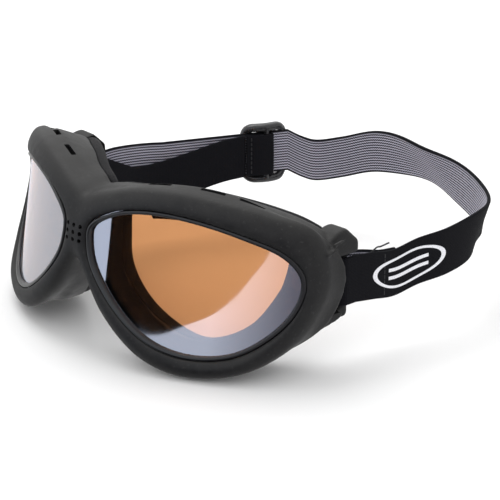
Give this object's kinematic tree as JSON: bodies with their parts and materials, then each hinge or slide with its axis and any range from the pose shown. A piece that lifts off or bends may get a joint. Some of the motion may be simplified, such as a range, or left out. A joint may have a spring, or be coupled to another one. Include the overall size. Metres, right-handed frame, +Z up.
{
  "type": "motorcycle goggles",
  "caption": "Wraparound goggles with two curved tinted lenses in a soft black shell, foam face seal and an elastic head strap with a sliding adjuster.",
  "frame": {"origin": "centre of the footprint, at the height of the lowest rim, with the goggles standing upright", "axes": "+X to the right seen from the front, +Y from the lenses back towards the head strap, +Z up"},
  "size_m": [0.1618, 0.1775, 0.0677],
  "materials": {
    "shell": "soft matte with a fine grain",
    "lens": "amber with a silver flash coating",
    "seal": "satin",
    "foam": "open-cell foam",
    "webbing": "knitted elastic, black outside and grey striped inside",
    "thread": "polyester thread",
    "print": "screen-printed ink",
    "slider": "moulded gloss black"
  },
  "bodies": {
    "goggles": {"goggle_frame": "shell", "lens_right": "lens", "lens_left": "lens", "lens_gasket_right": "seal", "lens_gasket_left": "seal", "face_foam": "foam", "top_vent_foam_right": "foam", "top_vent_foam_left": "foam", "bridge_vent_foam": "foam", "strap_loop_right": "webbing", "strap_loop_left": "webbing"},
    "strap": {"strap_band": "webbing", "strap_end_fold": "webbing", "end_stitch": "thread", "end_thread": "thread", "strap_badge": "print", "strap_return": "webbing"},
    "slider": {"slider": "slider", "slider_loop": "webbing", "slider_stitch": "thread"}
  },
  "joints": [
    {"name": "strap_swing", "type": "hinge", "parent": "goggles", "child": "strap", "pos_m": [-0.0003, -0.023, 0.03254], "axis": [0.9998, 0, -0.0218], "range_deg": [-12, 12]},
    {"name": "slider_slide", "type": "slide", "parent": "strap", "child": "slider", "axis": [-0.3829, -0.9238, 0], "range_m": [0, 0.034], "deforming": ["strap_return"]}
  ]
}
